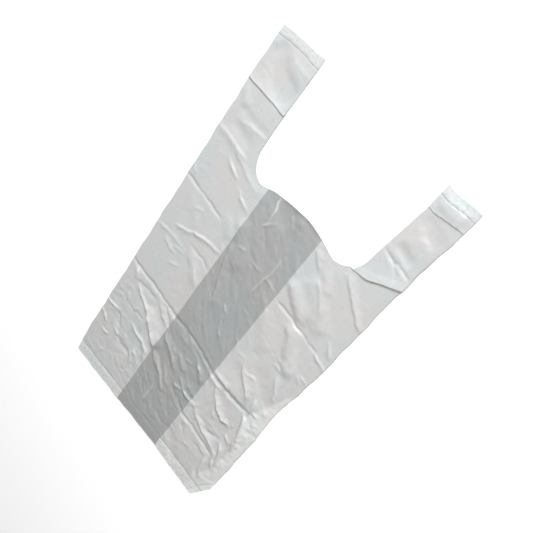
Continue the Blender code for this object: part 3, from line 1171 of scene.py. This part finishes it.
@dataclass(frozen=True)
class BlownFilm:
    """White high-density polyethylene film, blown as a tube: milky, with a soft waxy sheen.

    Four layers on each other look paler than two, so the tucks show through the front panel as
    light borders beside a darker middle. Film that is lapped, crushed or gone white under stretch
    along a ridge is paler again, and the same pale colour also paints a highlight along ridge crests
    and pleat edges and painted light on the back leaf's strip by the lower right corner. The loose
    ends past the seals are mottled. The die leaves faint lines along the film, its gauge wanders, and
    handling leaves a fine crinkle. Real die lines lie under a millimetre apart, and they are drawn
    coarser here so that they show.

    Args:
        four_layers: The colour where the tucks lie under the front panel.
        two_layers: The colour where only the back panel does.
        lapped: The colour where the film is lapped over itself, crushed or gone white under stretch,
            also used as a painted highlight along ridges and pleat edges and as painted light on the
            strip by the lower right corner.
        fused: The colour of a heat seal, where the layers have run together.
        frost: What the loose ends past the seals turn towards, in a mottle.
        cool: A tint where the film is thinner.
        warm: A tint where it is thicker.
        skirt_frost: How far the skirt does at most.
        handle_frost: How far the handles' ends do at most.
        mottle: The mottle's spacing across and along the film, in mm.
        roughness: The sheen's least and greatest roughness.
        sheen_patch: The spacing of its rougher and smoother patches, in mm.
        ior: The refractive index of polyethylene.
        seal_half: Half the width of a seal, in mm.
        seal_break: The spacing of a seal's gaps across and along the film, in mm.
        blend: How far a colour takes to turn into the next, in mm.
        gauge_wander: The spacing of thin and thick places, in mm.
        die_line: The spacing of the die's lines, and their length, in mm.
        die_shade: How dark they are at most.
        crinkle: The spacing of the fine crinkle, in mm.
        crinkle_height: Its height, in mm.
    """

    four_layers: str = "#CBCCCC"
    two_layers: str = "#A9ABAB"
    lapped: str = "#E6E8E7"
    fused: str = "#969C9E"
    frost: str = "#F4F6F6"
    cool: str = "#F7FCFB"
    warm: str = "#FFFBF8"
    skirt_frost: float = 0.75
    handle_frost: float = 0.4
    mottle: Point = (3.5, 2.4)
    roughness: Point = (0.25, 0.37)
    sheen_patch: float = 9.0
    ior: float = 1.54
    seal_half: float = 0.4
    seal_break: Point = (5.0, 1.5)
    blend: float = 0.4
    gauge_wander: float = 55.0
    die_line: Point = (2.4, 160.0)
    die_shade: float = 0.965
    crinkle: float = 14.0
    crinkle_height: float = 0.16

    def band(
        self,
        tree: bpy.types.NodeTree,
        value: bpy.types.NodeSocket,
        centre: float,
        half: float,
    ) -> bpy.types.NodeSocket:
        """Makes a mask that is 0 along a band of the film and 1 on both its sides.

        Args:
            tree: The material's tree.
            value: The place across or along the film, in metres.
            centre: The band's middle, in mm.
            half: Half its width, in mm.

        Returns:
            The mask.
        """
        offset = add_node(
            tree, "ShaderNodeMath", {"operation": "SUBTRACT", 1: centre * MM}, {0: value}
        )
        away = add_node(
            tree, "ShaderNodeMath", {"operation": "ABSOLUTE"}, {0: offset.outputs[0]}
        )
        limits = {"From Min": (half - self.blend / 2) * MM, "From Max": (half + self.blend / 2) * MM}
        return add_node(tree, "ShaderNodeMapRange", limits, {"Value": away.outputs[0]}).outputs[0]

    def noise(
        self,
        tree: bpy.types.NodeTree,
        flat: bpy.types.NodeSocket,
        across: float,
        along: float,
        low: float,
        high: float,
        settings: dict[str | int, object] | None = None,
    ) -> bpy.types.NodeSocket:
        """Makes a smooth random pattern on the flat film.

        Args:
            tree: The material's tree.
            flat: The film's flat places.
            across: The pattern's spacing across the film, in mm.
            along: Its spacing along the film, in mm.
            low: What its darkest part becomes.
            high: What its lightest part becomes.
            settings: Further settings of the noise.

        Returns:
            The pattern.
        """
        scaled = add_node(
            tree,
            "ShaderNodeMapping",
            {"Scale": (1.0 / (across * MM), 1.0 / (along * MM), 1.0)},
            {"Vector": flat},
        )
        kind = {"Scale": 1.0, "Detail": 2.0, **(settings or {})}
        cloud = add_node(tree, "ShaderNodeTexNoise", kind, {"Vector": scaled.outputs[0]})
        limits = {"From Min": 0.3, "From Max": 0.7, "To Min": low, "To Max": high}
        spread = add_node(tree, "ShaderNodeMapRange", limits, {"Value": cloud.outputs[0]})
        return spread.outputs[0]

    def colour(
        self, tree: bpy.types.NodeTree, flat: bpy.types.NodeSocket
    ) -> bpy.types.NodeSocket:
        """Lays the film's colours over each other.

        Args:
            tree: The material's tree.
            flat: The film's flat places.

        Returns:
            The colour.
        """
        axes = add_node(tree, "ShaderNodeSeparateXYZ", None, {0: flat})
        across, along = axes.outputs[0], axes.outputs[1]
        # Four layers at the sides, two in the middle, and paler film where it is lapped, crushed or
        # along ridges, partly a painted highlight and painted light by the corner.
        tucked = self.band(tree, across, FACE_MIDDLE, FACE_MIDDLE - GUSSET)
        layers = {
            "data_type": "RGBA",
            6: linear_colour(self.two_layers),
            7: linear_colour(self.four_layers),
        }
        film = add_node(tree, "ShaderNodeMix", layers, {0: tucked})
        # The pale attribute also carries painted highlights along ridge crests and pleat edges, and
        # painted light on the back leaf's strip by the lower right corner.
        laps_and_painted_light = add_node(tree, "ShaderNodeAttribute", {"attribute_name": "film_paleness_and_painted_light"})
        lapped = {"data_type": "RGBA", 7: linear_colour(self.lapped)}
        film = add_node(tree, "ShaderNodeMix", lapped, {0: laps_and_painted_light.outputs["Fac"], 6: film.outputs[2]})
        # The loose ends past the seals.
        ends = ((0.0, BOTTOM_SEAL, self.skirt_frost), (HANDLE_SEAL, LENGTH, self.handle_frost))
        for low, high, share in ends:
            mottle = self.noise(tree, flat, *self.mottle, 0.1 * share, share)
            frosted = add_node(
                tree, "ShaderNodeMath", {"operation": "MULTIPLY"}, {0: mottle, 1: tucked}
            )
            pale = {"data_type": "RGBA", 7: linear_colour(self.frost)}
            links = {0: frosted.outputs[0], 6: film.outputs[2]}
            skirt = add_node(tree, "ShaderNodeMix", pale, links)
            body = self.band(tree, along, (low + high) / 2, (high - low) / 2)
            parts = {0: body, 6: skirt.outputs[2], 7: film.outputs[2]}
            film = add_node(tree, "ShaderNodeMix", {"data_type": "RGBA"}, parts)
        # The seals, darker where the layers have run together, with gaps where they haven't.
        for seal in (BOTTOM_SEAL, HANDLE_SEAL):
            clear = self.band(tree, along, seal, self.seal_half)
            broken = self.noise(tree, flat, *self.seal_break, -0.3, 0.85)
            shown = add_node(tree, "ShaderNodeMath", {"operation": "MAXIMUM"}, {0: clear, 1: broken})
            fused = {"data_type": "RGBA", 6: linear_colour(self.fused)}
            links = {0: shown.outputs[0], 7: film.outputs[2]}
            film = add_node(tree, "ShaderNodeMix", fused, links)
        # Thin and thick places, and the die's lines.
        wander = self.noise(tree, flat, self.gauge_wander, self.gauge_wander, 0.0, 1.0)
        tints = {"data_type": "RGBA", 6: linear_colour(self.cool), 7: linear_colour(self.warm)}
        tint = add_node(tree, "ShaderNodeMix", tints, {0: wander})
        lines = self.noise(tree, flat, *self.die_line, self.die_shade, 1.0)
        shade = add_node(
            tree, "ShaderNodeVectorMath", {"operation": "SCALE"}, {0: tint.outputs[2], 3: lines}
        )
        multiply = {"data_type": "RGBA", "blend_type": "MULTIPLY", 0: 1.0}
        links = {6: film.outputs[2], 7: shade.outputs[0]}
        return add_node(tree, "ShaderNodeMix", multiply, links).outputs[2]

    def material(self) -> bpy.types.Material:
        """Makes the film's material.

        Returns:
            The material.
        """
        material = bpy.data.materials.new("hdpe_blown_film")
        material.use_nodes = True
        tree = material.node_tree
        shader = tree.nodes["Principled BSDF"]
        flat = add_node(tree, "ShaderNodeUVMap", {"uv_map": "flat_film"}).outputs[0]
        tree.links.new(self.colour(tree, flat), shader.inputs["Base Color"])
        sheen = self.noise(tree, flat, self.sheen_patch, self.sheen_patch, *self.roughness)
        tree.links.new(sheen, shader.inputs["Roughness"])
        shader.inputs["IOR"].default_value = self.ior
        ridged = {"noise_type": "RIDGED_MULTIFRACTAL", "Detail": 3.0, "Lacunarity": 2.2}
        crinkle = self.noise(tree, flat, self.crinkle, self.crinkle, 0.0, 1.0, ridged)
        relief = {"Strength": 1.0, "Distance": self.crinkle_height * MM}
        bump = add_node(tree, "ShaderNodeBump", relief, {"Height": crinkle})
        tree.links.new(bump.outputs[0], shader.inputs["Normal"])
        return material


@dataclass(frozen=True)
class PaleFloor:
    """A plain white floor, matt, so that it shows no reflection of the lamps.

    Args:
        colour: Its colour.
        roughness: Its roughness.
        glow: How much light it gives of its own, so that it stays white round the bag.
    """

    colour: str = "#FAFAFA"
    roughness: float = 0.9
    glow: float = 0.2

    def material(self) -> bpy.types.Material:
        """Makes the floor's material."""
        material = bpy.data.materials.new("pale_floor")
        material.use_nodes = True
        shader = material.node_tree.nodes["Principled BSDF"]
        shader.inputs["Base Color"].default_value = linear_colour(self.colour)
        shader.inputs["Roughness"].default_value = self.roughness
        shader.inputs["Specular IOR Level"].default_value = 0.0
        shader.inputs["Emission Color"].default_value = (1.0, 1.0, 1.0, 1.0)
        shader.inputs["Emission Strength"].default_value = self.glow
        return material


@dataclass(frozen=True)
class Lamp:
    """A square soft light aimed at the bag.

    Args:
        name: Its name.
        place: Where it hangs, in metres.
        size: The length of its side, in metres.
        power: Its power, in watts.
        colour: Its colour.
    """

    name: str
    place: Place
    size: float
    power: float
    colour: str


@dataclass
class Studio:
    """The floor, the soft light and the camera.

    Args:
        floor_size: The length of the floor's side, in metres.
        floor_drop: How far it lies under the bag, in metres.
        sky_strength: How bright the sky is overhead.
        horizon_strength: How bright it is at the horizon, behind the floor's far edge.
        horizon_height: How high the horizon's brightness reaches, as the sine of its elevation.
        lamps: The lamps.
        camera_place: Where the camera is, in metres.
        camera_turn: How it is turned, in degrees.
        lens: Its focal length, in mm.
    """

    floor_size: float = 8.0
    floor_drop: float = 0.0001
    sky_strength: float = 0.19
    horizon_strength: float = 0.8
    horizon_height: float = 0.18
    lamps: tuple[Lamp, ...] = (
        Lamp("window", (-0.55, 2.5, 1.45), 0.9, 90.0, "#FBFCFF"),
        Lamp("skylight", (0.0, 0.55, 1.45), 0.25, 6.0, "#FFFFFF"),
        Lamp("handle_light", (-0.05, 0.7, 0.5), 0.3, 1.5, "#EEF4FF"),
        Lamp("warm_bounce", (0.62, -0.12, 0.5), 0.4, 1.0, "#FFEBD6"),
    )
    camera_place: Place = (0.1802, 0.3197, 0.5198)
    camera_turn: Place = (-9.5908, 30.9036, 39.8695)
    lens: float = 41.25

    def add_floor(self) -> None:
        """Lays the floor just under the bag."""
        bpy.ops.object.select_all(action="DESELECT")
        bpy.ops.mesh.primitive_plane_add(
            size=self.floor_size, location=(0.0, 0.0, -self.floor_drop)
        )
        floor = bpy.context.object
        floor.name = "floor"
        floor.data.materials.append(PaleFloor().material())

    def add_light(self) -> None:
        """Lights the bag from the handles' side, under a sky that pales towards the horizon."""
        world = bpy.data.worlds.new("soft_sky")
        world.use_nodes = True
        sky = world.node_tree.nodes["Background"]
        sky.inputs["Color"].default_value = (1.0, 1.0, 1.0, 1.0)
        way = add_node(world.node_tree, "ShaderNodeTexCoord")
        axes = add_node(world.node_tree, "ShaderNodeSeparateXYZ", None, {0: way.outputs["Generated"]})
        limits = {
            "From Max": self.horizon_height,
            "To Min": self.horizon_strength,
            "To Max": self.sky_strength,
        }
        height = {"Value": axes.outputs["Z"]}
        graded = add_node(world.node_tree, "ShaderNodeMapRange", limits, height)
        world.node_tree.links.new(graded.outputs[0], sky.inputs["Strength"])
        bpy.context.scene.world = world
        for lamp in self.lamps:
            light = bpy.data.lights.new(lamp.name, "AREA")
            light.energy = lamp.power
            light.size = lamp.size
            light.color = linear_colour(lamp.colour)[:3]
            holder = bpy.data.objects.new(lamp.name, light)
            bpy.context.scene.collection.objects.link(holder)
            holder.location = lamp.place
            holder.rotation_euler = (-holder.location).to_track_quat("-Z", "Y").to_euler()

    def add_camera(self) -> None:
        """Looks down on the bag from beyond its handles."""
        lens = bpy.data.cameras.new("camera")
        lens.lens = self.lens
        lens.clip_start = 0.01
        camera = bpy.data.objects.new("camera", lens)
        bpy.context.scene.collection.objects.link(camera)
        camera.location = self.camera_place
        camera.rotation_euler = [math.radians(a) for a in self.camera_turn]
        bpy.context.scene.camera = camera
        bpy.context.scene.view_settings.view_transform = "Standard"


def main() -> None:
    """Builds the studio and the bag."""
    logging.basicConfig(level=logging.INFO, format="%(name)s: %(message)s")
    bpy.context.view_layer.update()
    studio = Studio()
    studio.add_floor()
    studio.add_light()
    studio.add_camera()
    bag = CarrierBag().build()
    bag.data.materials.append(BlownFilm().material())
    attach(bag, "root")
    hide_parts("carrier_bag")


if __name__ == "__main__":
    main()
